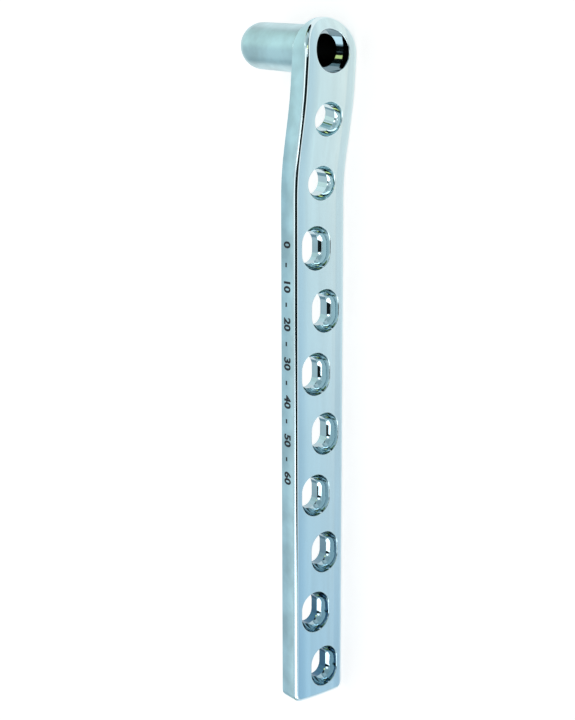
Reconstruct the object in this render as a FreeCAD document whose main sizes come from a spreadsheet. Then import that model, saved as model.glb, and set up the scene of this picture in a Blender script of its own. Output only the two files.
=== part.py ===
import FreeCAD, Part
import math
import os

import Sketcher

# An orthopedic bone plate for the condyles: a straight shaft with eight compression slots in two
# staggered rows, a gentle S-bend with two round screw holes, and a rounded head whose barrel stands at
# 95 degrees to the shaft.
#
# Millimetres and degrees. The origin is where the barrel's axis meets the bone face of the head, halfway
# across the width. +X runs along the shaft towards the head, +Y points to the bone, as the barrel does,
# and +Z is square to the long side that lies uppermost.

SIZES = {
    # The strip
    "width": 16.0,
    "middle_thickness": 5.5,
    "face_radius": 60.0,
    "bone_radius": 32.0,
    "edge_round": 1.0,
    "bone_edge_round": 0.4,
    "hole_rim_round": 0.25,
    "spare": 3.0,
    # The S-bend, from the barrel down to the shaft
    "barrel_angle": 95.0,
    "head_run": 8.0,
    "upper_bend_radius": 75.0,
    "middle_lean": 11.2,
    "middle_run": 9.0,
    "lower_bend_radius": 55.0,
    # The ends
    "nose_start": 2.0,
    "nose_radius": 15.0,
    "tail_length": 8.3,
    "tail_corner": 2.0,
    # The barrel
    "barrel_radius": 5.9,
    "barrel_length": 26.7,
    "barrel_end_wall": 0.45,
    "barrel_tip_depth": 3.9,
    "barrel_root_round": 0.8,
    "bore_radius": 4.0,
    "mouth_radius": 5.05,
    "mouth_depth": 4.0,
    # The round holes
    "round_hole_radius": 3.3,
    "round_seat_radius": 4.3,
    "round_seat_lift": 0.8,
    "lower_hole_lean": 4.2,
    # The slots
    "first_slot": 12.0,
    "slot_pitch": 16.0,
    "slots_per_row": 4,
    "row_offset": 1.5,
    "seat_length": 11.0,
    "seat_radius": 4.35,
    "slot_length": 8.2,
    "slot_radius": 2.9,
}

# Lengths and places that follow from the sizes, as expressions over the spreadsheet.
LEAN = "(Sizes.barrel_angle - 90)"
UPPER_RADIUS = "(Sizes.upper_bend_radius - Sizes.middle_thickness)"
LOWER_RADIUS = "(Sizes.lower_bend_radius + Sizes.middle_thickness)"
UPPER_X = f"(Sizes.head_run * cos({LEAN}) + {UPPER_RADIUS} * (sin(Sizes.middle_lean) - sin({LEAN})))"
UPPER_Y = f"(Sizes.head_run * sin({LEAN}) + {UPPER_RADIUS} * (cos({LEAN}) - cos(Sizes.middle_lean)))"
BEND_X = f"({UPPER_X} + Sizes.middle_run * cos(Sizes.middle_lean) + {LOWER_RADIUS} * sin(Sizes.middle_lean))"
SETBACK = f"({UPPER_Y} + Sizes.middle_run * sin(Sizes.middle_lean) + {LOWER_RADIUS} * (1 - cos(Sizes.middle_lean)))"
FIRST_SLOT_X = f"({BEND_X} + Sizes.first_slot)"
TAIL_X = f"({FIRST_SLOT_X} + Sizes.slot_pitch * (2 * Sizes.slots_per_row - 1) + Sizes.tail_length)"
HALF_WIDTH = "(Sizes.width / 2)"
STRIP_HALF_WIDTH = f"({HALF_WIDTH} + Sizes.spare / 2)"
HEAD_END = f"({HALF_WIDTH} + Sizes.spare)"
HEAD_X = f"(Sizes.middle_thickness / 2 * sin({LEAN}))"


def vector(x, y, z=0.0):
    return FreeCAD.Vector(x, y, z)


def fill_sheet(doc):
    """The driving dimensions, one aliased cell each."""
    sheet = doc.addObject("Spreadsheet::Sheet", "Sizes")
    for row, (name, value) in enumerate(SIZES.items(), start=1):
        sheet.set(f"A{row}", name)
        sheet.set(f"B{row}", str(value))
        sheet.setAlias(f"B{row}", name)
    doc.recompute()
    return sheet


def number(doc, expression):
    """What an expression over the sheet comes to."""
    return float(doc.Sizes.evalExpression(expression))


def add_sketch(body, name, role, base=None, turn=None):
    """A sketch on one of the body's own planes, moved and turned by expressions."""
    sketch = body.newObject("Sketcher::SketchObject", name)
    plane = next(item for item in body.Origin.OriginFeatures if item.Role == role)
    sketch.AttachmentSupport = (plane, [""])
    sketch.MapMode = "FlatFace"
    if turn:
        axis, angle = turn
        first_guess = number(body.Document, angle)
        sketch.AttachmentOffset = FreeCAD.Placement(vector(0, 0), FreeCAD.Rotation(axis, first_guess))
        sketch.setExpression(".AttachmentOffset.Rotation.Angle", angle)
    for letter, expression in (base or {}).items():
        sketch.setExpression(f".AttachmentOffset.Base.{letter}", expression)
    return sketch


def bind(sketch, name, expression, kind, *places):
    """A dimension of a sketch, tied to the sheet."""
    first_guess = number(sketch.Document, expression)
    if kind == "Angle":
        first_guess = math.radians(first_guess)
    index = sketch.addConstraint(Sketcher.Constraint(kind, *places, first_guess))
    sketch.renameConstraint(index, name)
    sketch.setExpression(f"Constraints.{name}", expression)


def add_side(sketch, start, end, centre=None):
    """A straight side, or a side round a centre. Gives its number and its first and last point."""
    if centre is None:
        return sketch.addGeometry(Part.LineSegment(vector(*start), vector(*end)), False), 1, 2
    before = math.atan2(start[1] - centre[1], start[0] - centre[0])
    after = math.atan2(end[1] - centre[1], end[0] - centre[0])
    forward = (after - before) % (2 * math.pi) <= math.pi
    circle = Part.Circle(vector(*centre), vector(0, 0, 1), math.dist(start, centre))
    low, high = (before, after) if forward else (after, before)
    if high < low:
        high += 2 * math.pi
    side = sketch.addGeometry(Part.ArcOfCircle(circle, low, high), False)
    return (side, 1, 2) if forward else (side, 2, 1)


def join(sketch, sides, smooth=(), closed=True):
    """Each side ends where the next one starts, without a corner after the sides in smooth."""
    following = sides[1:] + sides[:1] if closed else sides[1:]
    for index, (one, other) in enumerate(zip(sides, following)):
        kind = "Tangent" if index in smooth else "Coincident"
        sketch.addConstraint(Sketcher.Constraint(kind, one[0], one[2], other[0], other[1]))


def add_outline(sketch, corners, centres=None, smooth=()):
    """A closed outline through the corners, with arcs round the centres given for some sides."""
    centres = centres or {}
    sides = [
        add_side(sketch, corner, corners[(index + 1) % len(corners)], centres.get(index))
        for index, corner in enumerate(corners)
    ]
    join(sketch, sides, smooth)
    return [side[0] for side in sides]


def level(sketch, *sides):
    for side in sides:
        sketch.addConstraint(Sketcher.Constraint("Horizontal", side))


def upright(sketch, *sides):
    for side in sides:
        sketch.addConstraint(Sketcher.Constraint("Vertical", side))


def on_axis(sketch, side, point, axis):
    """Puts a point of a side on the sketch's horizontal axis (-1) or upright axis (-2)."""
    sketch.addConstraint(Sketcher.Constraint("PointOnObject", side, point, axis))


def draw_spine(body):
    """The middle line of the bone face, from beyond the tail to beyond the head."""
    doc = body.Document
    sketch = add_sketch(body, "SpineSketch", "XY_Plane")
    lean = math.radians(number(doc, LEAN))
    tilt = math.radians(SIZES["middle_lean"])
    run, middle_run = SIZES["head_run"], SIZES["middle_run"]
    upper_radius, lower_radius = number(doc, UPPER_RADIUS), number(doc, LOWER_RADIUS)
    end = number(doc, HEAD_END)
    head = (end * math.cos(lean), -end * math.sin(lean))
    upper_start = (-run * math.cos(lean), run * math.sin(lean))
    upper_end = (-number(doc, UPPER_X), number(doc, UPPER_Y))
    upper_centre = (upper_start[0] + upper_radius * math.sin(lean), upper_start[1] + upper_radius * math.cos(lean))
    lower_start = (upper_end[0] - middle_run * math.cos(tilt), upper_end[1] + middle_run * math.sin(tilt))
    lower_end = (-number(doc, BEND_X), number(doc, SETBACK))
    lower_centre = (lower_end[0], lower_end[1] - lower_radius)
    tail = (-number(doc, TAIL_X) - SIZES["spare"], lower_end[1])
    sides = [
        add_side(sketch, tail, lower_end),
        add_side(sketch, lower_end, lower_start, lower_centre),
        add_side(sketch, lower_start, upper_end),
        add_side(sketch, upper_end, upper_start, upper_centre),
        add_side(sketch, upper_start, head),
    ]
    join(sketch, sides, smooth=(0, 1, 2, 3), closed=False)
    shaft, lower_bend, middle, upper_bend, head_line = [side[0] for side in sides]
    level(sketch, shaft)
    sketch.addConstraint(Sketcher.Constraint("PointOnObject", -1, 1, head_line))
    bind(sketch, "HeadLean", f"0 - {LEAN}", "Angle", head_line)
    bind(sketch, "MiddleLean", "0 - Sizes.middle_lean", "Angle", middle)
    bind(sketch, "LowerRadius", LOWER_RADIUS, "Radius", lower_bend)
    bind(sketch, "UpperRadius", UPPER_RADIUS, "Radius", upper_bend)
    bind(sketch, "MiddleRun", "Sizes.middle_run", "Distance", middle)
    bind(sketch, "HeadRun", "Sizes.head_run", "Distance", -1, 1, head_line, 1)
    bind(sketch, "HeadEnd", HEAD_END, "Distance", -1, 1, head_line, 2)
    bind(sketch, "TailEnd", f"{TAIL_X} + Sizes.spare", "DistanceX", shaft, 1, -1, 1)
    return sketch


def draw_section(body):
    """The strip's section: a convex outer face, and a bone face hollowed along its length."""
    doc = body.Document
    sketch = add_sketch(body, "SectionSketch", "YZ_Plane", {"x": SETBACK, "z": f"-({TAIL_X} + Sizes.spare)"})
    half = number(doc, STRIP_HALF_WIDTH)
    face_radius, bone_radius = SIZES["face_radius"], SIZES["bone_radius"]
    face_centre = face_radius - SIZES["middle_thickness"]
    face_x = face_centre - math.sqrt(face_radius ** 2 - half ** 2)
    bone_x = bone_radius - math.sqrt(bone_radius ** 2 - half ** 2)
    corners = [(face_x, -half), (bone_x, -half), (bone_x, half), (face_x, half)]
    low, bone, high, face = add_outline(sketch, corners, {1: (bone_radius, 0), 3: (face_centre, 0)})
    level(sketch, low, high)
    on_axis(sketch, bone, 3, -1)
    on_axis(sketch, face, 3, -1)
    bind(sketch, "BoneRadius", "Sizes.bone_radius", "Radius", bone)
    bind(sketch, "BoneCentre", "Sizes.bone_radius", "DistanceX", -1, 1, bone, 3)
    bind(sketch, "FaceRadius", "Sizes.face_radius", "Radius", face)
    bind(sketch, "FaceCentre", "Sizes.face_radius - Sizes.middle_thickness", "DistanceX", -1, 1, face, 3)
    bind(sketch, "LowSide", STRIP_HALF_WIDTH, "DistanceY", low, 1, -1, 1)
    bind(sketch, "HighSide", STRIP_HALF_WIDTH, "DistanceY", -1, 1, high, 2)
    return sketch


def add_strip(body):
    """The strip swept along the S-bend, a little too wide and too long."""
    spine, section = draw_spine(body), draw_section(body)
    body.Document.recompute()
    strip = body.newObject("PartDesign::AdditivePipe", "Strip")
    strip.Profile = section
    strip.Spine = (spine, [f"Edge{number}" for number in range(1, 6)])
    body.Document.recompute()
    return strip


def draw_outline(body):
    """All that lies beside the plate's outline: a round head, long sides and a squarer tail."""
    doc = body.Document
    sketch = add_sketch(body, "OutlineSketch", "XZ_Plane")
    half, corner = number(doc, HALF_WIDTH), SIZES["tail_corner"]
    head, tail = -number(doc, HEAD_X), -number(doc, TAIL_X)
    corners = [
        (head, -half),
        (head, half),
        (tail + corner, half),
        (tail, half - corner),
        (tail, corner - half),
        (tail + corner, -half),
    ]
    centres = {0: (head, 0), 2: (tail + corner, half - corner), 4: (tail + corner, corner - half)}
    round_head, high, high_corner, tail_end, low_corner, low = add_outline(sketch, corners, centres, smooth=range(6))
    level(sketch, high, low)
    upright(sketch, tail_end)
    on_axis(sketch, round_head, 3, -1)
    bind(sketch, "HalfWidth", HALF_WIDTH, "Radius", round_head)
    bind(sketch, "HeadCentre", HEAD_X, "DistanceX", round_head, 3, -1, 1)
    bind(sketch, "HighCorner", "Sizes.tail_corner", "Radius", high_corner)
    bind(sketch, "LowCorner", "Sizes.tail_corner", "Radius", low_corner)
    bind(sketch, "Tail", TAIL_X, "DistanceX", tail_end, 1, -1, 1)
    # The frame round the outline
    reach, front, back = half + SIZES["spare"], number(doc, HEAD_END) + SIZES["spare"], tail - 2 * SIZES["spare"]
    frame = [(front, -reach), (front, reach), (back, reach), (back, -reach)]
    front_side, high_side, back_side, low_side = add_outline(sketch, frame)
    level(sketch, high_side, low_side)
    upright(sketch, front_side, back_side)
    bind(sketch, "FrameHigh", HEAD_END, "DistanceY", -1, 1, high_side, 1)
    bind(sketch, "FrameLow", HEAD_END, "DistanceY", low_side, 1, -1, 1)
    bind(sketch, "FrameFront", f"{HEAD_END} + Sizes.spare", "DistanceX", -1, 1, front_side, 1)
    bind(sketch, "FrameBack", f"{TAIL_X} + 2 * Sizes.spare", "DistanceX", back_side, 1, -1, 1)
    return sketch


def cut_through(body, name, sketch):
    """Cuts a sketch through the plate, to both sides of the sketch's plane."""
    pocket = body.newObject("PartDesign::Pocket", name)
    pocket.Profile = sketch
    pocket.Type = "ThroughAll"
    pocket.SideType = "Symmetric"
    body.Document.recompute()
    return pocket


def turn_out(body, name, sketch, axis, kind="PartDesign::Groove", angle=360.0, reverse=False):
    """Turns a sketch round one of its axes, to add or to cut."""
    feature = body.newObject(kind, name)
    feature.Profile = sketch
    feature.ReferenceAxis = (sketch, [axis])
    feature.Angle = angle
    feature.Reversed = reverse
    body.Document.recompute()
    return feature


def draw_nose(body):
    """What lies in front of the outer face at the start of the nose, with the line that it turns about."""
    doc = body.Document
    base = {
        "x": f"Sizes.nose_start * sin({LEAN}) - Sizes.middle_thickness * cos({LEAN})",
        "z": f"-(Sizes.nose_start * cos({LEAN}) + Sizes.middle_thickness * sin({LEAN}))",
    }
    sketch = add_sketch(body, "NoseSketch", "YZ_Plane", base, (vector(0, -1), LEAN))
    half, radius, front = number(doc, HEAD_END), SIZES["face_radius"], -SIZES["nose_radius"] / 2
    edge = radius - math.sqrt(radius ** 2 - half ** 2)
    corners = [(front, -half), (edge, -half), (edge, half), (front, half)]
    low, face, high, outside = add_outline(sketch, corners, {1: (radius, 0)})
    level(sketch, low, high)
    upright(sketch, outside)
    on_axis(sketch, face, 3, -1)
    bind(sketch, "FaceRadius", "Sizes.face_radius", "Radius", face)
    bind(sketch, "FaceCentre", "Sizes.face_radius", "DistanceX", -1, 1, face, 3)
    bind(sketch, "Outside", "Sizes.nose_radius / 2", "DistanceX", outside, 1, -1, 1)
    bind(sketch, "LowSide", HEAD_END, "DistanceY", low, 1, -1, 1)
    bind(sketch, "HighSide", HEAD_END, "DistanceY", -1, 1, high, 2)
    axis_x = SIZES["nose_radius"]
    axis = sketch.addGeometry(Part.LineSegment(vector(axis_x, -half), vector(axis_x, half)), True)
    upright(sketch, axis)
    bind(sketch, "AxisPlace", "Sizes.nose_radius", "DistanceX", -1, 1, axis, 1)
    bind(sketch, "AxisLow", HEAD_END, "DistanceY", axis, 1, -1, 1)
    bind(sketch, "AxisHigh", HEAD_END, "DistanceY", -1, 1, axis, 2)
    return sketch


def draw_barrel(body):
    """Half of the barrel's lengthwise section, with its blunt round tip."""
    sketch = add_sketch(body, "BarrelSketch", "XY_Plane", turn=(vector(0, 0, -1), LEAN))
    radius, length, depth = SIZES["barrel_radius"], SIZES["barrel_length"], SIZES["barrel_tip_depth"]
    start, end_radius = -SIZES["middle_thickness"] / 2, SIZES["bore_radius"] + SIZES["barrel_end_wall"]
    fall = radius - end_radius
    tip_radius = (fall ** 2 + depth ** 2) / (2 * fall)
    corners = [(0, start), (radius, start), (radius, length - depth), (end_radius, length), (0, length)]
    centres = {2: (radius - tip_radius, length - depth)}
    root, wall, tip, end, middle = add_outline(sketch, corners, centres, smooth=(1,))
    level(sketch, root, end)
    upright(sketch, wall, middle)
    on_axis(sketch, root, 1, -2)
    bind(sketch, "Root", "Sizes.middle_thickness / 2", "DistanceY", root, 1, -1, 1)
    bind(sketch, "Radius", "Sizes.barrel_radius", "DistanceX", root, 1, root, 2)
    bind(sketch, "Length", "Sizes.barrel_length", "DistanceY", -1, 1, end, 1)
    bind(sketch, "EndRadius", "Sizes.bore_radius + Sizes.barrel_end_wall", "DistanceX", -1, 1, end, 1)
    bind(sketch, "TipDepth", "Sizes.barrel_tip_depth", "DistanceY", wall, 2, end, 1)
    return sketch


def draw_bore(body):
    """Half of the bore's lengthwise section, with the wider mouth in the head."""
    sketch = add_sketch(body, "BoreSketch", "XY_Plane", turn=(vector(0, 0, -1), LEAN))
    bore, mouth, spare = SIZES["bore_radius"], SIZES["mouth_radius"], SIZES["spare"]
    front = -SIZES["middle_thickness"] - spare
    shoulder = SIZES["mouth_depth"] - SIZES["middle_thickness"]
    back = SIZES["barrel_length"] + spare
    corners = [(0, front), (mouth, front), (mouth, shoulder), (bore, shoulder), (bore, back), (0, back)]
    opening, mouth_wall, ring, bore_wall, end, middle = add_outline(sketch, corners)
    level(sketch, opening, ring, end)
    upright(sketch, mouth_wall, bore_wall, middle)
    on_axis(sketch, opening, 1, -2)
    bind(sketch, "Front", "Sizes.middle_thickness + Sizes.spare", "DistanceY", opening, 1, -1, 1)
    bind(sketch, "MouthRadius", "Sizes.mouth_radius", "DistanceX", opening, 1, opening, 2)
    bind(sketch, "MouthDepth", "Sizes.mouth_depth + Sizes.spare", "DistanceY", mouth_wall, 1, mouth_wall, 2)
    bind(sketch, "BoreRadius", "Sizes.bore_radius", "DistanceX", end, 2, end, 1)
    bind(sketch, "Back", "Sizes.barrel_length + Sizes.spare", "DistanceY", -1, 1, end, 1)
    return sketch


def draw_round_hole(body, name, x, y, lean):
    """Half of a round screw hole's section: a bore, and a hollow ball seat in the outer face."""
    sketch = add_sketch(body, name, "XY_Plane", {"x": x, "y": y}, (vector(0, 0, -1), lean))
    bore, seat, spare = SIZES["round_hole_radius"], SIZES["round_seat_radius"], SIZES["spare"]
    centre = -SIZES["middle_thickness"] - SIZES["round_seat_lift"]
    ridge = centre + math.sqrt(seat ** 2 - bore ** 2)
    corners = [(0, centre - spare), (seat, centre - spare), (seat, centre), (bore, ridge), (bore, spare), (0, spare)]
    opening, entry, ball, bore_wall, end, middle = add_outline(sketch, corners, {2: (0, centre)}, smooth=(1,))
    level(sketch, opening, end)
    upright(sketch, entry, bore_wall, middle)
    on_axis(sketch, opening, 1, -2)
    on_axis(sketch, ball, 3, -2)
    bind(sketch, "SeatRadius", "Sizes.round_seat_radius", "Radius", ball)
    bind(sketch, "SeatCentre", "Sizes.middle_thickness + Sizes.round_seat_lift", "DistanceY", ball, 3, -1, 1)
    bind(sketch, "Entry", "Sizes.spare", "DistanceY", entry, 1, entry, 2)
    bind(sketch, "BoreRadius", "Sizes.round_hole_radius", "DistanceX", end, 2, end, 1)
    bind(sketch, "Back", "Sizes.spare", "DistanceY", -1, 1, end, 1)
    return sketch


def draw_slot(body, name, x, z):
    """The outline of a slot where it goes right through."""
    sketch = add_sketch(body, name, "XZ_Plane", {"x": x, "y": z})
    radius = SIZES["slot_radius"]
    run = SIZES["slot_length"] / 2 - radius
    corners = [(run, -radius), (run, radius), (-run, radius), (-run, -radius)]
    front, high, back, low = add_outline(sketch, corners, {0: (run, 0), 2: (-run, 0)}, smooth=range(4))
    level(sketch, high, low)
    on_axis(sketch, front, 3, -1)
    bind(sketch, "Radius", "Sizes.slot_radius", "Radius", front)
    bind(sketch, "Front", "Sizes.slot_length / 2 - Sizes.slot_radius", "DistanceX", -1, 1, front, 3)
    bind(sketch, "Back", "Sizes.slot_length / 2 - Sizes.slot_radius", "DistanceX", back, 3, -1, 1)
    return sketch


def draw_seat(body, name, x, z):
    """Half of a slot's seat: a trough with round ends, whose middle line lies in the outer face."""
    base = {"x": x, "y": f"{SETBACK} - Sizes.middle_thickness", "z": z}
    sketch = add_sketch(body, name, "XY_Plane", base)
    radius, reach = SIZES["seat_radius"], SIZES["seat_length"] / 2
    run = reach - radius
    corners = [(reach, 0), (run, radius), (-run, radius), (-reach, 0)]
    front, floor, back, middle = add_outline(sketch, corners, {0: (run, 0), 2: (-run, 0)}, smooth=(0, 1))
    level(sketch, floor, middle)
    on_axis(sketch, front, 1, -1)
    on_axis(sketch, front, 3, -1)
    on_axis(sketch, back, 3, -1)
    bind(sketch, "Radius", "Sizes.seat_radius", "Radius", front)
    bind(sketch, "Front", "Sizes.seat_length / 2", "DistanceX", -1, 1, front, 1)
    bind(sketch, "Back", "Sizes.seat_length / 2", "DistanceX", middle, 1, -1, 1)
    return sketch


def cut_row(body, name, first_x, z):
    """A row of slots along the shaft, two pitches apart."""
    slot = cut_through(body, f"{name}Slot", draw_slot(body, f"{name}SlotSketch", first_x, z))
    seat = turn_out(body, f"{name}Seat", draw_seat(body, f"{name}SeatSketch", first_x, z), "H_Axis")
    row = body.newObject("PartDesign::LinearPattern", f"{name}Row")
    row.Originals = [slot, seat]
    row.Direction = (next(item for item in body.Origin.OriginFeatures if item.Role == "X_Axis"), [""])
    row.Reversed = True
    row.setExpression("Length", "2 * Sizes.slot_pitch * (Sizes.slots_per_row - 1)")
    row.setExpression("Occurrences", "Sizes.slots_per_row")
    body.Tip = row
    body.Document.recompute()
    return row


def middle_normal(face):
    low_u, high_u, low_v, high_v = face.ParameterRange
    return face.normalAt((low_u + high_u) / 2, (low_v + high_v) / 2)


def rim_edges(shape, direction):
    """The edges where an upright wall meets the outer face (direction -1) or the bone face (1)."""
    names = []
    for index, edge in enumerate(shape.Edges, start=1):
        slopes = sorted(direction * middle_normal(face).y for face in shape.ancestorsOfType(edge, Part.Face))
        if len(slopes) == 2 and abs(slopes[0]) < 0.05 and slopes[1] > 0.3:
            names.append(f"Edge{index}")
    return names


def round_off(body, name, base, edges, radius):
    fillet = body.newObject("PartDesign::Fillet", name)
    fillet.Base = (base, edges)
    fillet.setExpression("Radius", radius)
    body.Document.recompute()
    return fillet


def root_edges(doc, shape):
    """The edges where the barrel's wall leaves the bone face."""
    lean = math.radians(number(doc, LEAN))
    axis = vector(math.sin(lean), math.cos(lean))
    names = []
    for index, edge in enumerate(shape.Edges, start=1):
        points = edge.discretize(5)
        heights = [point.dot(axis) for point in points]
        radii = [(point - axis * height).Length for point, height in zip(points, heights)]
        on_wall = all(abs(radius - SIZES["barrel_radius"]) < 0.01 for radius in radii)
        if on_wall and max(heights) < SIZES["barrel_length"] / 2 and max(heights) - min(heights) < 2:
            names.append(f"Edge{index}")
    return names


def hole_rims(shape):
    """The edges where the outer face meets a seat or the barrel's mouth."""
    seats = (SIZES["seat_radius"], SIZES["round_seat_radius"], SIZES["mouth_radius"])
    names = []
    for index, edge in enumerate(shape.Edges, start=1):
        radii = []
        slopes = []
        for face in shape.ancestorsOfType(edge, Part.Face):
            radius = getattr(face.Surface, "Radius", 0)
            if any(abs(radius - seat) < 0.001 for seat in seats):
                radii.append(radius)
            elif not isinstance(face.Surface, Part.Plane):
                slopes.append(middle_normal(face).y)
        if radii and slopes and slopes[0] < -0.9:
            names.append(f"Edge{index}")
    return names


def build_plate(doc):
    body = doc.addObject("PartDesign::Body", "CondylarPlate")
    body.Label = "condylar_plate"
    body.Placement = FreeCAD.Placement(vector(0, 0), FreeCAD.Rotation())
    doc.recompute()

    strip = add_strip(body)
    report(strip)
    report(cut_through(body, "Outline", draw_outline(body)))
    nose = turn_out(body, "Nose", draw_nose(body), "Axis0", angle=70.0)
    report(nose)
    outer_rim = round_off(body, "OuterRim", nose, rim_edges(nose.Shape, -1), "Sizes.edge_round")
    report(outer_rim)
    bone_rim = round_off(body, "BoneRim", outer_rim, rim_edges(outer_rim.Shape, 1), "Sizes.bone_edge_round")
    report(bone_rim)

    barrel = turn_out(body, "Barrel", draw_barrel(body), "V_Axis", kind="PartDesign::Revolution")
    report(barrel)
    root = round_off(body, "BarrelRoot", barrel, root_edges(doc, barrel.Shape), "Sizes.barrel_root_round")
    report(root)
    report(turn_out(body, "Bore", draw_bore(body), "V_Axis"))

    upper = draw_round_hole(body, "UpperHoleSketch", f"-{UPPER_X}", UPPER_Y, "Sizes.middle_lean")
    report(turn_out(body, "UpperHole", upper, "V_Axis"))
    lower_x = f"-({BEND_X} - {LOWER_RADIUS} * sin(Sizes.lower_hole_lean))"
    lower_y = f"{SETBACK} - {LOWER_RADIUS} * (1 - cos(Sizes.lower_hole_lean))"
    lower = draw_round_hole(body, "LowerHoleSketch", lower_x, lower_y, "Sizes.lower_hole_lean")
    report(turn_out(body, "LowerHole", lower, "V_Axis"))

    report(cut_row(body, "High", f"-{FIRST_SLOT_X}", "Sizes.row_offset"))
    last_row = cut_row(body, "Low", f"-({FIRST_SLOT_X} + Sizes.slot_pitch)", "-Sizes.row_offset")
    report(last_row)
    report(round_off(body, "HoleRims", last_row, hole_rims(last_row.Shape), "Sizes.hole_rim_round"))
    return body


def report(feature):
    shape = feature.Shape
    box = shape.BoundBox
    extent = f"X {box.XMin:.2f} to {box.XMax:.2f}, Y {box.YMin:.2f} to {box.YMax:.2f}, Z {box.ZMin:.2f} to {box.ZMax:.2f}"
    print(f"{feature.Label}: volume {shape.Volume:.2f}, {extent}")


def check(doc):
    """Stops at a feature that failed and at a shape that isn't one valid solid."""
    for item in doc.Objects:
        if "Invalid" in item.State or "Error" in item.State:
            raise RuntimeError(f"{item.Label} failed: {item.State}")
    shape = doc.CondylarPlate.Shape
    if shape.isNull() or not shape.isValid() or len(shape.Solids) != 1:
        raise RuntimeError("The plate isn't one valid solid")


document = FreeCAD.newDocument("CondylarPlate")
fill_sheet(document)
plate = build_plate(document)
document.recompute()
check(document)
os.makedirs("parts", exist_ok=True)
plate.Shape.exportStep("parts/condylar_plate.step")
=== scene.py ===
# %% [markdown]
# # A condylar bone plate in satin steel
#
# This lesson dresses a bone plate: a long steel strip with eight compression slots, two round screw holes
# and a rounded head that carries a hollow barrel. The solid comes finished from the CAD model, so the work
# here is all finish and light. On a real plate of this kind the outer face has a satin sheen, the seats and
# the rounded edge are as bright as mirrors, and the sides and the barrel are blasted to a soft grain.

from math import cos, radians, sin

import bmesh
import bpy
import numpy as np
from mathutils import Matrix, Vector


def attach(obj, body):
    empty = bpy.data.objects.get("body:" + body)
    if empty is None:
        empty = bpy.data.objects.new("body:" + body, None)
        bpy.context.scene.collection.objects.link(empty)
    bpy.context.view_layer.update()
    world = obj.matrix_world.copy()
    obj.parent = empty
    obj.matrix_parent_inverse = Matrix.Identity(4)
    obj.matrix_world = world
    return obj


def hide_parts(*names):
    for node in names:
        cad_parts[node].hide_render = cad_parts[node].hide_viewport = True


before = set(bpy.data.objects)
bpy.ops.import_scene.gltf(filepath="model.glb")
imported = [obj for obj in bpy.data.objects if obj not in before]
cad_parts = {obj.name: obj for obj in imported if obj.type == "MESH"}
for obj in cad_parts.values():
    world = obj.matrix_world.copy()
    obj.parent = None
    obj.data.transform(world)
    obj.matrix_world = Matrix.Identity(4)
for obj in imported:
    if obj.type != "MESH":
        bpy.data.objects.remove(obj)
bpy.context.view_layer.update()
cad_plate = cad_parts["condylar_plate"]
MM = 0.001

# %% [markdown]
# ## The camera
#
# The plate lies on one long side and the photograph looks down on it, rolled a quarter turn so that the
# head is at the top. A camera can be aimed with a constraint or with Euler angles. Here three directions
# make up its matrix, because it is easy to read them: where it looks, what is up, and what is right.

# %% Camera
LOOK = Vector((-0.19366, 0.77460, -0.60207))
UP = Vector((0.98107, 0.15141, -0.12077))
CAMERA_PLACE = Vector((-15.48, -239.3, 196.2))
camera_data = bpy.data.cameras.new("camera")
camera_data.sensor_width = 36
camera_data.lens = 62
camera_data.clip_start = 0.01
camera = bpy.data.objects.new("camera", camera_data)
bpy.context.collection.objects.link(camera)
axes = Matrix((LOOK.cross(UP), UP, -LOOK)).transposed().to_4x4()
camera.matrix_world = Matrix.Translation(CAMERA_PLACE * MM) @ axes
bpy.context.scene.camera = camera
bpy.context.scene.view_settings.view_transform = "Standard"
print("camera at", [round(v, 3) for v in camera.location])

# %% [markdown]
# ## The visible plate
#
# The CAD mesh is made of flat facets, and polished steel shows every one of them. More facets would be one
# cure. Here a merged copy keeps the facets and gets exact shading normals, because the shape is made of
# planes, cylinders, balls and bends, and each of these knows its own normal at any point. So the first
# thing is a copy whose doubled points are merged. It stands for the CAD node, which stays hidden.

# %% A merged copy
SAME_POINT = 1e-7
shell = bmesh.new()
shell.from_mesh(cad_plate.data)
bmesh.ops.remove_doubles(shell, verts=shell.verts, dist=SAME_POINT)
skin = bpy.data.meshes.new("plate")
shell.to_mesh(skin)
shell.free()
plate = bpy.data.objects.new("plate", skin)
bpy.context.collection.objects.link(plate)
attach(plate, "root")
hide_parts("condylar_plate")
points = np.array([vertex.co for vertex in skin.vertices]) / MM
facets = np.array([polygon.vertices for polygon in skin.polygons])
facet_normals = np.array([polygon.normal for polygon in skin.polygons])
print("merged copy:", len(points), "points,", len(facets), "facets")

# %% [markdown]
# ## Surfaces that know their normals
#
# Each surface below is tested against all points at once. It gives every point's distance from it, and the
# way out of the steel there. A facet belongs to the surface that all three of its corners lie on. Blender's
# own smooth normals would be less work, but they bend the light on a flat that meets a small rounding, and
# bright steel shows that as well.

# %% Helpers for surfaces, in millimetres
surfaces = []
TINY = 1e-9


def unit(rows):
    return rows / np.linalg.norm(rows, axis=-1, keepdims=True)


def add_surface(zone, distance, normal):
    surfaces.append((zone, np.abs(distance), unit(normal)))


def count(*zones):
    """How many surfaces each of these zones has by now."""
    return {name: sum(zone == name for zone, distance, normal in surfaces) for name in zones}


def add_plane(zone, place, way_out):
    add_surface(zone, (points - place) @ np.array(way_out), np.tile(way_out, (len(points), 1)))


def spokes(place, axis):
    """How far each point is along an axis and away from it, and the direction away from it."""
    offset = points - np.array(place)
    rise = offset @ np.array(axis)
    across = offset - np.outer(rise, axis)
    reach = np.linalg.norm(across, axis=1)
    return rise, reach, across / np.maximum(reach, TINY)[:, None]


def add_tube(zone, place, axis, radius, side=1):
    """A cylinder. Side 1 is an outside wall and -1 a bore."""
    rise, reach, spoke = spokes(place, axis)
    add_surface(zone, reach - radius, side * spoke)


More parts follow.
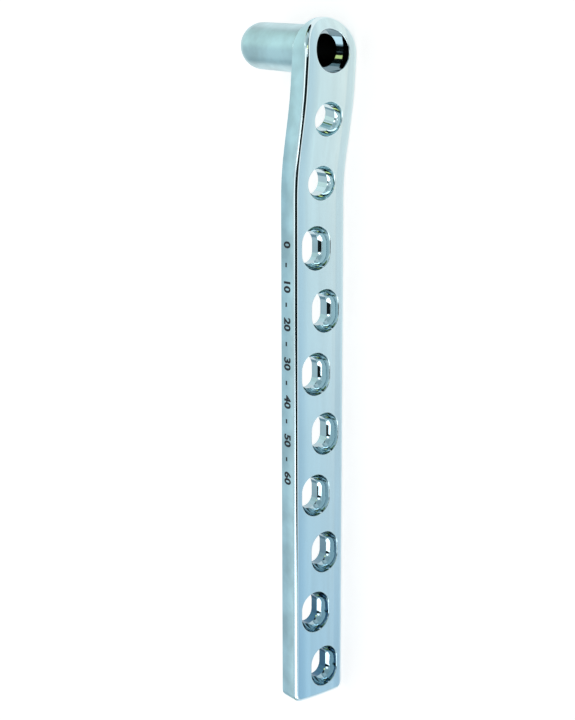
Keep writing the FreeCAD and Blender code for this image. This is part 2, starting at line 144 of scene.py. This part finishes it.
def add_ball(zone, place, axis, height, radius, side=1, ring=0.0):
    """A ball on an axis, or with a ring radius the surface of a ring round that axis."""
    rise, reach, spoke = spokes(place, axis)
    arm = spoke * (reach - ring)[:, None] + np.outer(rise - height, axis)
    add_surface(zone, np.linalg.norm(arm, axis=1) - radius, side * arm)


# %% [markdown]
# ## The strip's line
#
# Seen from its long side, the shaft is straight. Above it the strip bends outwards, to clear the bone where
# it gets wider, and it leans back a little at the head, so that the barrel stands at 95 degrees to the
# shaft. A curve could be drawn along it. Here the line is worked out from its straight runs and its two
# bends, because the bends' centres and the directions at their ends are what the normals need.

# %% The strip's own measures, in millimetres
LEAN, TILT = radians(5.0), radians(11.2)
THICKNESS, HALF_WIDTH = 5.5, 8.0
FACE_RADIUS, BONE_RADIUS = 60.0, 32.0
HEAD_RUN, MIDDLE_RUN = 8.0, 9.0
UPPER_BEND, LOWER_BEND = 75.0 - THICKNESS, 55.0 + THICKNESS
NOSE_START, NOSE_RADIUS = -2.0, 15.0
SLOTS, SLOT_STEP, FIRST_SLOT, LAST_RUN = 8, 16, 12, 8.3
UPRIGHT = np.array((0.0, 0.0, 1.0))


def headward(angle):
    return np.array((cos(angle), -sin(angle), 0.0))


def outward(angle):
    return np.array((-sin(angle), -cos(angle), 0.0))


upper_start = -HEAD_RUN * headward(LEAN)
upper_centre = upper_start - UPPER_BEND * outward(LEAN)
upper_end = upper_centre + UPPER_BEND * outward(TILT)
lower_start = upper_end - MIDDLE_RUN * headward(TILT)
lower_centre = lower_start + LOWER_BEND * outward(TILT)
shaft_start = lower_centre - LOWER_BEND * outward(0)
nose_start = NOSE_START * headward(LEAN) + THICKNESS * outward(LEAN)
nose_centre = nose_start - NOSE_RADIUS * outward(LEAN)
BEND_X, SETBACK = -shaft_start[0], shaft_start[1]
HEAD_X = -THICKNESS / 2 * sin(LEAN)
TAIL_X = -(BEND_X + FIRST_SLOT + SLOT_STEP * (SLOTS - 1) + LAST_RUN)
print("bends end at x", round(-BEND_X, 3), "and the tail at", round(TAIL_X, 3))


# %% [markdown]
# ## Outer face and bone face
#
# The strip has one section all along: a slightly convex outer face, so that tissue glides over it, and a
# hollow bone face that sits on the round bone. The normals could be read off the CAD facets, but those are
# flat. Each stretch gives the true ones: where the strip is straight, the way out is the same all along,
# and where it bends, the way out turns about the bend's centre.

# %% Faces of the strip
def add_faces(way_out, lift, with_bone=True):
    """The outer and the bone face of one stretch. Lift is the height over the bone face's middle line."""
    z = points[:, 2]
    faces = [("face", FACE_RADIUS, THICKNESS - FACE_RADIUS, 1), ("bone_face", BONE_RADIUS, -BONE_RADIUS, -1)]
    for zone, radius, centre, side in faces if with_bone else faces[:1]:
        arm = way_out * (lift - centre)[:, None] + np.outer(z, UPRIGHT)
        add_surface(zone, np.linalg.norm(arm, axis=1) - radius, side * arm)


for place, angle in ((shaft_start, 0.0), (upper_end, TILT), (upper_start, LEAN)):
    way_out = np.tile(outward(angle), (len(points), 1))
    add_faces(way_out, (points - place) @ outward(angle))
for centre, radius, side in ((lower_centre, LOWER_BEND, -1), (upper_centre, UPPER_BEND, 1)):
    rise, reach, spoke = spokes(centre, UPRIGHT)
    add_faces(side * spoke, side * (reach - radius))
rise, reach, spoke = spokes(nose_centre, UPRIGHT)
add_faces(spoke, reach - (NOSE_RADIUS - THICKNESS), with_bone=False)
print("surfaces of the strip's faces:", count("face", "bone_face"))

# %% [markdown]
# ## Walls of the outline
#
# Seen from the front, the strip has two flat sides, a half round head and a square tail with rounded
# corners. They could be one wall drawn along the outline. Planes and tubes are used instead, because they
# are exact everywhere, and the head then shades like the true cylinder that a mill leaves.

# %% Walls of the outline
TAIL_CORNER = 2.0
DOWN = (0.0, 1.0, 0.0)
add_tube("wall", (HEAD_X, 0, 0), DOWN, HALF_WIDTH)
add_plane("wall", (TAIL_X, 0, 0), (-1.0, 0.0, 0.0))
for side in (1.0, -1.0):
    add_plane("wall", (0, 0, side * HALF_WIDTH), (0.0, 0.0, side))
    add_tube("wall", (TAIL_X + TAIL_CORNER, 0, side * (HALF_WIDTH - TAIL_CORNER)), DOWN, TAIL_CORNER)
print("surfaces of the outline:", count("wall"))

# %% [markdown]
# ## Barrel and its bore
#
# A lag screw slides in the barrel, and the wide mouth in the outer face takes the head of the screw that
# pulls it tight. The barrel's tip is blunt and round. Half a ball would be too long for it, so the tip is
# part of a ring round the barrel's axis, which ends in the narrow flat rim of the bore.

# %% Barrel and its bore
BARREL_RADIUS, BARREL_LENGTH, BARREL_END = 5.9, 26.7, 4.45
TIP_DEPTH = 3.9
BORE_RADIUS, MOUTH_RADIUS, SHOULDER = 4.0, 5.05, -1.5
CENTRE = (0.0, 0.0, 0.0)
barrel_axis = np.array((sin(LEAN), cos(LEAN), 0.0))
fall = BARREL_RADIUS - BARREL_END
tip_radius = (fall ** 2 + TIP_DEPTH ** 2) / (2 * fall)
tip_start = BARREL_LENGTH - TIP_DEPTH
add_tube("barrel", CENTRE, barrel_axis, BARREL_RADIUS)
add_ball("barrel", CENTRE, barrel_axis, tip_start, tip_radius, ring=BARREL_RADIUS - tip_radius)
add_plane("barrel", BARREL_LENGTH * barrel_axis, barrel_axis)
add_tube("bore", CENTRE, barrel_axis, BORE_RADIUS, -1)
add_tube("mouth", CENTRE, barrel_axis, MOUTH_RADIUS, -1)
add_plane("shoulder", SHOULDER * barrel_axis, -barrel_axis)
print("tip radius", round(tip_radius, 3), "mm;", count("barrel", "bore", "mouth", "shoulder"))

# %% [markdown]
# ## Round screw holes
#
# The two holes below the barrel take screws with round heads. Each is a bore, square to the strip at its
# place, with a hollow ball seat in the outer face. A countersink could be a cone as well. A ball is what
# such plates have, because it holds the screw head at any tilt.

# %% Round screw holes, each with a hollow ball seat
ROUND_BORE, ROUND_SEAT, SEAT_LIFT = 3.3, 4.3, 0.8
LOWER_LEAN = radians(4.2)
lower_hole = lower_centre - LOWER_BEND * outward(LOWER_LEAN)
for place, angle in ((upper_end, TILT), (lower_hole, LOWER_LEAN)):
    into_bone = -outward(angle)
    add_tube("round_bore", place, into_bone, ROUND_BORE, -1)
    add_ball("round_seat", place, into_bone, -THICKNESS - SEAT_LIFT, ROUND_SEAT, -1)
    print("round hole at x", round(place[0], 2), "mm")

# %% [markdown]
# ## Compression slots
#
# As a screw is driven home at the end of a slot, its head slides down the seat and presses the broken bone
# together. A real seat is a pair of sloped cylinders, which a photograph hardly shows. Here it is a straight
# trough that ends in two quarter balls, because its rim looks much the same, and the slot through it has
# two flat sides and two half round ends. The slots lie to the left and the right of the middle in turn.

# %% Slots, each with a trough that ends in two quarter balls
SLOT_LENGTH, SLOT_RADIUS = 8.2, 2.9
SEAT_LENGTH, SEAT_RADIUS = 11.0, 4.35
SLOT_OFFSET = 1.5
ALONG = (1.0, 0.0, 0.0)
slot_run = SLOT_LENGTH / 2 - SLOT_RADIUS
seat_run = SEAT_LENGTH / 2 - SEAT_RADIUS
seat_y = SETBACK - THICKNESS
for number in range(SLOTS):
    x = -(BEND_X + FIRST_SLOT + SLOT_STEP * number)
    z = -SLOT_OFFSET if number % 2 else SLOT_OFFSET
    add_tube("seat", (x, seat_y, z), ALONG, SEAT_RADIUS, -1)
    for side in (1.0, -1.0):
        add_plane("slot_wall", (x, 0, z + side * SLOT_RADIUS), (0.0, 0.0, -side))
        add_tube("slot_wall", (x + side * slot_run, 0, z), DOWN, SLOT_RADIUS, -1)
        add_ball("seat", (x + side * seat_run, seat_y, z), ALONG, 0.0, SEAT_RADIUS, -1)
print(len(surfaces), "surfaces in", sorted({zone for zone, distance, normal in surfaces}))

# %% [markdown]
# ## Which facet lies on which surface
#
# Facets could be chosen by hand, or by their angle to each other. The surfaces themselves are a surer guide:
# a facet's three corners have to lie within a few thousandths of a millimetre of its surface, and the facet
# has to face the surface's way. Facets that fit none are the rounded edges in between.

# %% Sort the facets
CLOSE, AGREE = 0.004, 0.85
on_surface = np.array([distance < CLOSE for zone, distance, normal in surfaces])
fits = on_surface[:, facets].all(axis=2)
for row, (zone, distance, normal) in zip(fits, surfaces):
    row &= (normal[facets].mean(axis=1) * facet_normals).sum(axis=1) > AGREE
kind = np.where(fits.any(axis=0), fits.argmax(axis=0), -1)
zones = np.array([surfaces[k][0] if k >= 0 else "rounding" for k in kind])
print("facets by zone:", {zone: int((zones == zone).sum()) for zone in sorted(set(zones))})

# %% [markdown]
# ## The rounded outer edge
#
# The edge between the outer face and the walls is rounded to a radius of 1 mm. It is as bright as a mirror
# and draws the dark line that runs down the photograph, so its normals are worked out as well, where an
# average of the facets would make the line waver. A point that is a distance d inside the wall has 1 - d of
# the wall's direction in its normal, and the rest is the face's.

# %% Inset from the outline, and the wall's direction there
EDGE_ROUND = 1.0
x, y, z = points.T
from_wall = HALF_WIDTH - np.abs(z)
wall_way = np.outer(np.sign(z), UPRIGHT)
for centre_x, side_x, radius, flat in (
    (HEAD_X, 1, HALF_WIDTH, 0.0),
    (TAIL_X + TAIL_CORNER, -1, TAIL_CORNER, HALF_WIDTH - TAIL_CORNER),
):
    arm = np.stack((x - centre_x, 0 * x, np.sign(z) * np.maximum(np.abs(z) - flat, 0)), axis=1)
    inset = radius - np.linalg.norm(arm, axis=1)
    beyond = (side_x * arm[:, 0] > 0) & (inset < from_wall + CLOSE)
    from_wall[beyond] = inset[beyond]
    wall_way[beyond] = unit(arm[beyond])
print("points within the rounding's width of the outline:", int((from_wall < EDGE_ROUND).sum()))

# %% Normals of the outer edge
# The face is convex, so the rounding meets it a little before the rounding's full width.
EDGE_LIMIT = 0.9
bend_angles = (
    (-BEND_X, 0.0),
    (-BEND_X + (LOWER_BEND - THICKNESS) * sin(TILT), TILT),
    (upper_end[0] - THICKNESS * sin(TILT), TILT),
    (upper_start[0] - THICKNESS * sin(LEAN), LEAN),
)
angle = np.interp(x, *zip(*bend_angles))
face_way = np.stack((-np.sin(angle), -np.cos(angle), 0 * angle), axis=1)
rise, reach, spoke = spokes(nose_centre, UPRIGHT)
on_nose = (points - nose_start) @ headward(LEAN) > 0
face_way[on_nose] = spoke[on_nose]
face_way = unit(face_way * np.sqrt(1 - (z / FACE_RADIUS) ** 2)[:, None] + np.outer(z / FACE_RADIUS, UPRIGHT))
across = unit(face_way - wall_way * (face_way * wall_way).sum(axis=1)[:, None])
share = np.clip(1 - from_wall / EDGE_ROUND, 0, 1)[:, None]
edge_normals = share * wall_way + np.sqrt(1 - share ** 2) * across
corner_inset = from_wall[facets].max(axis=1)
agree = (edge_normals[facets].mean(axis=1) * facet_normals).sum(axis=1)
on_edge = (kind == -1) & (corner_inset < EDGE_LIMIT) & (agree > AGREE)
zones[on_edge] = "edge"
print("facets of the outer edge:", int(on_edge.sum()), "agreement", round(float(agree[on_edge].mean()), 4))

# %% [markdown]
# ## Small roundings, and the normals as a whole
#
# The rims of the holes, the edge on the bone side and the barrel's root have small roundings. They could be
# worked out like the outer edge, but they are less than a millimetre wide, so the average of their own
# facets already looks smooth. Only a point that they share with a surface that they run into without a
# corner takes that surface's normal.

# %% Normals of the small roundings
ALIKE = 0.8
loose = zones == "rounding"
average = np.zeros_like(points)
for corner in range(3):
    np.add.at(average, facets[loose, corner], facet_normals[loose])
average = average / np.maximum(np.linalg.norm(average, axis=1, keepdims=True), TINY)
best = np.full(len(points), ALIKE)
rounding_normals = average.copy()
for row, (zone, distance, normal) in zip(on_surface, surfaces):
    likeness = (normal * average).sum(axis=1)
    better = row & (likeness > best)
    rounding_normals[better] = normal[better]
    best[better] = likeness[better]
print("facets of small roundings:", int(loose.sum()), "points led by a surface:", int((best > ALIKE).sum()))

# %% Give the copy its normals
corner_normals = rounding_normals[facets]
corner_normals[on_edge] = edge_normals[facets[on_edge]]
for index, (zone, distance, normal) in enumerate(surfaces):
    corner_normals[kind == index] = normal[facets[kind == index]]
skin.shade_smooth()
skin.normals_split_custom_set(corner_normals.reshape(-1, 3).tolist())
turn = np.degrees(np.arccos(np.clip((corner_normals * facet_normals[:, None]).sum(axis=2), -1, 1)))
print("corner normals turn from their facets by", round(float(turn.mean()), 2), "degrees on average")


# %% [markdown]
# ## Room and floor
#
# The plate was photographed on white, in soft light from all around. Area lamps could give such light. The
# room's own colour does it here, because it is even, leaves no hard shadow, and gives the steel its faint
# blue. The floor is a sheet of paper that takes the plate's soft shadow. It glows for the camera and in
# reflections alone, so that it looks white there and doesn't throw more light on the plate.

# %% Helpers for materials and flat pieces
def new_material(name):
    """An empty node material with its output."""
    material = bpy.data.materials.new(name)
    material.use_nodes = True
    nodes = material.node_tree.nodes
    nodes.clear()
    return material, nodes, material.node_tree.links, nodes.new("ShaderNodeOutputMaterial")


def panel(name, corners):
    """A flat stage piece between corners that are given in millimetres."""
    sheet = bmesh.new()
    sheet.faces.new([sheet.verts.new(Vector(corner) * MM) for corner in corners])
    mesh = bpy.data.meshes.new(name)
    sheet.to_mesh(mesh)
    sheet.free()
    piece = bpy.data.objects.new(name, mesh)
    bpy.context.collection.objects.link(piece)
    return piece


# %% World
world = bpy.data.worlds.new("room")
bpy.context.scene.world = world
world.use_nodes = True
background = world.node_tree.nodes["Background"]
background.inputs["Color"].default_value = (0.64, 0.74, 0.77, 1)
background.inputs["Strength"].default_value = 1.0
print("room colour", [round(v, 2) for v in background.inputs["Color"].default_value[:3]])

# %% Floor
FLOOR_REACH, FLOOR_GLOW = 4000, 0.5
CORNERS = ((-1, -1), (1, -1), (1, 1), (-1, 1))
floor = panel("floor", [(i * FLOOR_REACH, j * FLOOR_REACH, -HALF_WIDTH) for i, j in CORNERS])
paper, nodes, links, output = new_material("white paper")
matte = nodes.new("ShaderNodeBsdfDiffuse")
matte.inputs["Color"].default_value = (0.90, 0.79, 0.76, 1)
glow = nodes.new("ShaderNodeEmission")
rays = nodes.new("ShaderNodeLightPath")
seen = rays.outputs["Is Camera Ray"]
for kind_of_ray in ("Is Glossy Ray", "Is Transmission Ray"):
    either = nodes.new("ShaderNodeMath")
    either.operation = "MAXIMUM"
    links.new(seen, either.inputs[0])
    links.new(rays.outputs[kind_of_ray], either.inputs[1])
    seen = either.outputs[0]
strength = nodes.new("ShaderNodeMath")
strength.operation = "MULTIPLY"
strength.inputs[1].default_value = FLOOR_GLOW
both = nodes.new("ShaderNodeAddShader")
links.new(seen, strength.inputs[0])
links.new(strength.outputs[0], glow.inputs["Strength"])
links.new(matte.outputs["BSDF"], both.inputs[0])
links.new(glow.outputs["Emission"], both.inputs[1])
links.new(both.outputs["Shader"], output.inputs["Surface"])
floor.data.materials.append(paper)
print("floor at z", -HALF_WIDTH, "mm, with a glow of", FLOOR_GLOW)

# %% [markdown]
# ## Cards around the plate
#
# Polished steel shows the room, so the room is part of the look. A picture of a studio could surround the
# plate. Plain cards are easier to place, and each one answers for one stripe of the reflections. They stand
# on a far dome, each given by where it is seen from the plate: an azimuth, with 0 in front of the outer face
# and positive towards the head, and an elevation. A dark wall draws the black line along the rounded edge
# and the black bars in the seats, and soft boxes beside it give the white glints. The camera doesn't see
# any of them.

# %% Helpers for cards
DOME = 3000


def card(name, corners, colour, strength=1.0):
    """
    A card on the dome, between corners that are given as azimuth and elevation in degrees. It glows, but
    only in reflections: the camera and the floor don't see it.
    """
    places = []
    for azimuth, elevation in corners:
        around, up = radians(azimuth), radians(elevation)
        places.append((DOME * cos(up) * sin(around), -DOME * cos(up) * cos(around), DOME * sin(up)))
    piece = panel(name, places)
    material, nodes, links, output = new_material(name)
    glow = nodes.new("ShaderNodeEmission")
    glow.inputs["Color"].default_value = (*colour, 1)
    glow.inputs["Strength"].default_value = strength
    links.new(glow.outputs["Emission"], output.inputs["Surface"])
    piece.data.materials.append(material)
    piece.visible_camera = False
    piece.visible_diffuse = False
    piece.visible_shadow = False


def window(left, right, low, high):
    return [(left, low), (right, low), (right, high), (left, high)]


# %% Cards of the room
BLACK, WHITE, SLATE = (0.008, 0.012, 0.012), (1.0, 1.0, 1.0), (0.40, 0.52, 0.55)
SOFT_BOX = 3.0
card("dark_wall", [(-24, 3), (-1, 3), (-3, 35), (-5, 68), (-30, 68), (-30, 40), (-24, 30)], BLACK)
card("dark_band", window(-1, 48, 11, 27), BLACK)
card("dark_step", window(-1, 12, 27, 43), BLACK)
card("tail_soft_box", window(-76, -31, 31, 68), WHITE, SOFT_BOX)
card("low_soft_box", window(-52, -31, 3, 30), WHITE, SOFT_BOX)
card("head_soft_box", [(2, 49), (14, 47), (25, 56), (16, 63), (3, 59)], WHITE, SOFT_BOX)
card("ceiling", [(-100, 75), (-10, 75), (80, 75), (170, 75)], WHITE, 1.6)
card("grey_wall", [(31, 28), (90, 28), (90, 62), (34, 62)], SLATE)
card("low_grey_wall", window(30, 74, 0, 11), SLATE)
card("yellow_lamp", window(12, 25, 28, 38), (1.0, 0.92, 0.30), 2.6)
card("green_card", window(26, 31, 27, 37), (0.24, 0.36, 0.12))
card("head_shelf", window(77, 117, 0.3, 26), BLACK)
card("dark_shelf", window(117, 133, 0.3, 15), BLACK)
card("green_shelf", window(116, 137, 15, 37), (0.13, 0.21, 0.07))
card("tail_shelf", window(-124, -103, 0.3, 40), (0.22, 0.36, 0.24))
card("corner_soft_box", window(138, 152, 51, 64), WHITE, SOFT_BOX)
card("yellow_strip", window(-102, -98, 0.3, 30), (0.75, 0.60, 0.22))
card("bright_back", window(149, 176, 8, 50), (0.84, 0.98, 0.94))
card("bright_corner", window(136, 149, 0.3, 30), (0.84, 0.95, 0.94), 1.15)
card("dim_corner", window(-152, -125, 1, 22), (0.26, 0.38, 0.44))


# %% [markdown]
# ## Colour of the steel
#
# The steel is one metal, but it doesn't look the same all over. Its colour shifts from tail to head, bluer
# towards the tail, as painted reflection; the outer face and the long side change their tone from edge to
# edge as painted shade and reflection; and the blasted parts are cloudy.
# Painted images could hold this, at one size only. Nodes that read the object's own coordinates are chosen,
# because they stay sharp at any distance and the plate doesn't have to be unwrapped.

# %% Nodes for colour
def between(nodes, links, share, first, second):
    """A colour between two, by a share from 0 to 1."""
    mix = nodes.new("ShaderNodeMix")
    mix.data_type = "RGBA"
    mix.inputs["A"].default_value = (*first, 1)
    mix.inputs["B"].default_value = (*second, 1)
    links.new(share, mix.inputs["Factor"])
    return mix.outputs["Result"]


def times(nodes, links, colour, factor):
    """A colour that is multiplied by another."""
    product = nodes.new("ShaderNodeMix")
    product.data_type = "RGBA"
    product.blend_type = "MULTIPLY"
    product.inputs["Factor"].default_value = 1.0
    links.new(colour, product.inputs["A"])
    links.new(factor, product.inputs["B"])
    return product.outputs["Result"]


def share_of(nodes, links, coordinate, span):
    """How far a coordinate has come from the start to the end of a span, from 0 to 1."""
    share = nodes.new("ShaderNodeMapRange")
    share.inputs["From Min"].default_value, share.inputs["From Max"].default_value = span
    links.new(coordinate, share.inputs["Value"])
    return share.outputs["Result"]


# %% Nodes for tones and clouds
CLOUD_DETAIL, CLOUD_LOW, CLOUD_HIGH = 4, 0.35, 0.65


def ramp_of(nodes, links, share, tones):
    """A ramp through tones, each given by its position and its colour."""
    ramp = nodes.new("ShaderNodeValToRGB")
    stops = ramp.color_ramp.elements
    while len(stops) > 1:
        stops.remove(stops[-1])
    stops[0].position, stops[0].color = tones[0][0], (*tones[0][1], 1)
    for position, colour in tones[1:]:
        stops.new(position).color = (*colour, 1)
    links.new(share, ramp.inputs["Fac"])
    return ramp.outputs["Color"]


def clouds(nodes, links, place, scale, depth):
    """Soft patches that take up to depth off the brightness."""
    patches = nodes.new("ShaderNodeMapping")
    patches.inputs["Scale"].default_value = scale
    cloud = nodes.new("ShaderNodeTexNoise")
    cloud.inputs["Scale"].default_value = 1.0
    cloud.inputs["Detail"].default_value = CLOUD_DETAIL
    shade = nodes.new("ShaderNodeMapRange")
    shade.inputs["From Min"].default_value = CLOUD_LOW
    shade.inputs["From Max"].default_value = CLOUD_HIGH
    shade.inputs["To Min"].default_value = 1 - depth
    links.new(place, patches.inputs["Vector"])
    links.new(patches.outputs["Vector"], cloud.inputs["Vector"])
    links.new(cloud.outputs["Fac"], shade.inputs["Value"])
    return shade.outputs["Result"]


# %% [markdown]
# ## Grain of the steel
#
# Brushing and blasting leave marks that are too small to model. An image of such marks would do, and so
# would real bumps in the mesh, at a great cost. A fine noise is enough here: it varies the roughness, and it
# raises a relief of two hundredths of a millimetre that only the light sees. A shallow grain looks brushed,
# a strong one with more roughness looks blasted, and almost none looks polished.

# %% Nodes for grain
STEEL_DETAIL, STEEL_RELIEF = 4, 0.00002


def grain(nodes, links, place, shader, scale, detail, gloss_range, bump, height):
    """A fine noise that varies a shader's roughness and raises a small relief. Gives back the noise."""
    speckle = nodes.new("ShaderNodeTexNoise")
    speckle.inputs["Scale"].default_value = scale
    speckle.inputs["Detail"].default_value = detail
    gloss = nodes.new("ShaderNodeMapRange")
    gloss.inputs["To Min"].default_value, gloss.inputs["To Max"].default_value = gloss_range
    relief = nodes.new("ShaderNodeBump")
    relief.inputs["Strength"].default_value = bump
    relief.inputs["Distance"].default_value = height
    links.new(place, speckle.inputs["Vector"])
    links.new(speckle.outputs["Fac"], gloss.inputs["Value"])
    links.new(gloss.outputs["Result"], shader.inputs["Roughness"])
    links.new(speckle.outputs["Fac"], relief.inputs["Height"])
    links.new(relief.outputs["Normal"], shader.inputs["Normal"])
    return speckle.outputs["Fac"]


# %% One recipe for every finish
WHOLE_LENGTH = (-0.168, 0.0)
FROM_SIDE_TO_SIDE = (HALF_WIDTH * MM, -HALF_WIDTH * MM)


def steel(name, tail_colour, head_colour, gloss_range, grain_scale, bump, cloud_scale, cloud_depth,
          span=WHOLE_LENGTH, tones=None, tone_axis="Z", tone_span=FROM_SIDE_TO_SIDE):
    """
    Steel whose colour shifts over a span from tail to head, as painted reflection, and by tones of painted
    shade and reflection along a second axis. Clouds darken it by up to their depth.
    it by up to their depth.
    """
    material, nodes, links, output = new_material(name)
    shader = nodes.new("ShaderNodeBsdfPrincipled")
    shader.inputs["Metallic"].default_value = 1.0
    place = nodes.new("ShaderNodeTexCoord").outputs["Object"]
    split = nodes.new("ShaderNodeSeparateXYZ")
    links.new(place, split.inputs["Vector"])
    # Painted reflection: the colour shifts from tail to head.
    from_tail = share_of(nodes, links, split.outputs["X"], span)
    colour = between(nodes, links, from_tail, tail_colour, head_colour)
    # Painted shade and reflection: tones across a second axis.
    if tones:
        across = share_of(nodes, links, split.outputs[tone_axis], tone_span)
        colour = times(nodes, links, colour, ramp_of(nodes, links, across, tones))
    colour = times(nodes, links, colour, clouds(nodes, links, place, cloud_scale, cloud_depth))
    links.new(colour, shader.inputs["Base Color"])
    grain(nodes, links, place, shader, grain_scale, STEEL_DETAIL, gloss_range, bump, STEEL_RELIEF)
    links.new(shader.outputs["BSDF"], output.inputs["Surface"])
    return material


# %% [markdown]
# ## The finishes, and the painted light in their colours
#
# The outer face is satin: its clouds are long and thin, like the traces of brushing along the strip. The
# seats, the rounded edge and the mouth share one polish and differ in tint only. These tints are painted
# reflection, because each mirrors another part of the room, and the mouth is painted darker as shade. The
# slots' sides are a little duller, and painted shade makes them dark towards the tail. The barrel and the
# bone face are blasted, and the long sides too, whose tone falls off towards the bone as painted shade.
# The bore is painted almost black as shade, as hardly any light gets in.

# %% Satin and polished steel
# Painted shade and reflection across the outer face: darker towards the edge at +z, with a painted dark band
# near the edge at -z.
FACE_PAINTED_SHADE = (
    (0.0, (0.58, 0.70, 0.80)),
    (0.14, (0.68, 0.80, 0.88)),
    (0.26, (0.84, 0.92, 0.96)),
    (0.60, (0.92, 0.96, 0.98)),
    (0.78, (1.0, 1.0, 1.0)),
    (0.81, (0.88, 0.92, 0.95)),
    (0.91, (0.88, 0.92, 0.95)),
    (0.94, (1.0, 1.0, 1.0)),
)
EVEN = (200, 200, 200)
POLISH = dict(gloss_range=(0.06, 0.08), grain_scale=600, bump=0.02, cloud_scale=EVEN, cloud_depth=0.04)
# The satin's colour is painted bluer and darker towards the tail, as reflection.
satin = steel("satin steel", (0.39, 0.60, 0.74), (0.69, 0.83, 0.83), gloss_range=(0.19, 0.25),
              grain_scale=900, bump=0.1, cloud_scale=(25, 500, 500), cloud_depth=0.07, tones=FACE_PAINTED_SHADE)
# Painted reflection: the polished parts are painted bluer and darker towards the tail, the rounded edge is
# painted brighter, and the mouth is painted darker as the shade of its recess.
polished = steel("polished steel with painted reflection", (0.36, 0.52, 0.60), (0.62, 0.77, 0.80), **POLISH)
rim = steel("bright edge steel with painted reflection", (0.58, 0.74, 0.82), (0.68, 0.82, 0.85), **POLISH)
mouth_painted_shade = steel("mouth steel painted darker as shade", (0.42, 0.52, 0.56), (0.42, 0.52, 0.56), **POLISH)
# Painted shade: the slots' sides are painted dark towards the tail.
slot_side_painted_shade = steel("slot side steel with painted shade", (0.07, 0.17, 0.27), (0.46, 0.62, 0.68), gloss_range=(0.10, 0.13),
                  grain_scale=600, bump=0.02, cloud_scale=EVEN, cloud_depth=0.10, span=(-0.146, -0.106))
print("bright finishes:", [material.name for material in (satin, polished, rim, mouth_painted_shade, slot_side_painted_shade)])

# %% Blasted steel and the dark bore
# Painted shade: the long side is darker towards the bone face.
SIDE_PAINTED_SHADE = ((0.0, (1.0, 1.0, 1.0)), (0.35, (0.97, 0.98, 0.98)), (0.75, (0.76, 0.81, 0.85)))
COARSE = (130, 130, 130)
BLAST = dict(gloss_range=(0.32, 0.40), grain_scale=2500, bump=0.7, cloud_scale=COARSE, cloud_depth=0.24)
# Painted light: the barrel and the bone face are painted brighter towards the tail.
blasted = steel("blasted steel", (0.68, 0.87, 0.97), (0.57, 0.79, 0.84), **BLAST)
# Painted light: the long side is painted brighter towards the tail.
long_side_painted_shade = steel("blasted side steel with painted shade", (0.73, 0.94, 1.0), (0.62, 0.86, 0.92), **BLAST,
                  tones=SIDE_PAINTED_SHADE, tone_axis="Y", tone_span=((SETBACK - THICKNESS) * MM, SETBACK * MM))
# Painted shade: the bore is painted almost black, as hardly any light gets in.
dark = steel("bore painted dark as shade", (0.01, 0.014, 0.014), (0.012, 0.016, 0.015), gloss_range=(0.25, 0.35),
             grain_scale=900, bump=0.2, cloud_scale=EVEN, cloud_depth=0.10)
print("dull finishes:", [material.name for material in (blasted, long_side_painted_shade, dark)])

# %% Each zone gets its finish, with the painted light in its colour
finishes = {
    satin: ("face",),
    rim: ("edge",),
    polished: ("rounding", "seat", "round_bore", "round_seat"),
    mouth_painted_shade: ("shoulder", "mouth"),
    slot_side_painted_shade: ("slot_wall",),
    long_side_painted_shade: ("wall",),
    blasted: ("barrel", "bone_face"),
    dark: ("bore",),
}
skin.materials.clear()
finish_of = {}
for index, (material, names) in enumerate(finishes.items()):
    skin.materials.append(material)
    finish_of.update({zone: index for zone in names})
skin.polygons.foreach_set("material_index", [finish_of[zone] for zone in zones])
print("finishes:", [material.name for material in skin.materials])

# %% [markdown]
# ## A scale of plain numbers
#
# The long side carries a laser mark: a plain scale in millimetres, whose numbers read down the side. It
# could be painted with a texture. Here the digits are real thin shapes, because a text object makes them
# sharp at any distance. The text is made a mesh first, and only then turned and put in its place.

# %% Ink
INK_GRAIN, INK_DETAIL, INK_RELIEF = 3000, 2, 0.00001
ink, nodes, links, output = new_material("laser mark")
shader = nodes.new("ShaderNodeBsdfPrincipled")
place = nodes.new("ShaderNodeTexCoord").outputs["Object"]
speckle = grain(nodes, links, place, shader, INK_GRAIN, INK_DETAIL, (0.5, 0.8), 0.3, INK_RELIEF)
ink_colour = between(nodes, links, speckle, (0.001, 0.004, 0.010), (0.004, 0.014, 0.024))
links.new(ink_colour, shader.inputs["Base Color"])
links.new(shader.outputs["BSDF"], output.inputs["Surface"])
print("ink:", ink.name, "with", len(nodes), "nodes")

# %% Numbers
BASELINE, DIGIT_SIZE, SCALE_START, STEP, LAST_NUMBER = 4.05, 3.4, -47.0, 10, 60
STROKE, INK_DEPTH, INK_LIFT = 0.13, 0.012, 0.004


def mark(name, words, x):
    """A word on the long side. It reads towards the tail, with its top towards the outer face."""
    curve = bpy.data.curves.new(name, "FONT")
    curve.body = words
    curve.size = DIGIT_SIZE
    curve.offset = STROKE
    curve.extrude = INK_DEPTH
    curve.resolution_u = 4
    writing = bpy.data.objects.new(name, curve)
    bpy.context.collection.objects.link(writing)
    bpy.context.view_layer.update()
    mesh = bpy.data.meshes.new_from_object(writing.evaluated_get(bpy.context.evaluated_depsgraph_get()))
    bpy.data.objects.remove(writing)
    width = max(vertex.co.x for vertex in mesh.vertices) - min(vertex.co.x for vertex in mesh.vertices)
    mesh.transform(Matrix.Translation((-width / 2, 0, 0)))
    mesh.transform(Matrix.Rotation(radians(180), 4, "Z"))
    mesh.transform(Matrix.Translation((x, BASELINE, HALF_WIDTH + INK_LIFT)))
    mesh.transform(Matrix.Scale(MM, 4))
    mesh.name = name
    mesh.materials.clear()
    mesh.materials.append(ink)
    piece = bpy.data.objects.new(name, mesh)
    bpy.context.collection.objects.link(piece)
    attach(piece, "root")


for number in range(0, LAST_NUMBER + 1, STEP):
    x = SCALE_START - number
    mark(f"scale_{number}", str(number), x)
    if number < LAST_NUMBER:
        mark(f"dash_{number + STEP // 2}", "-", x - STEP / 2)
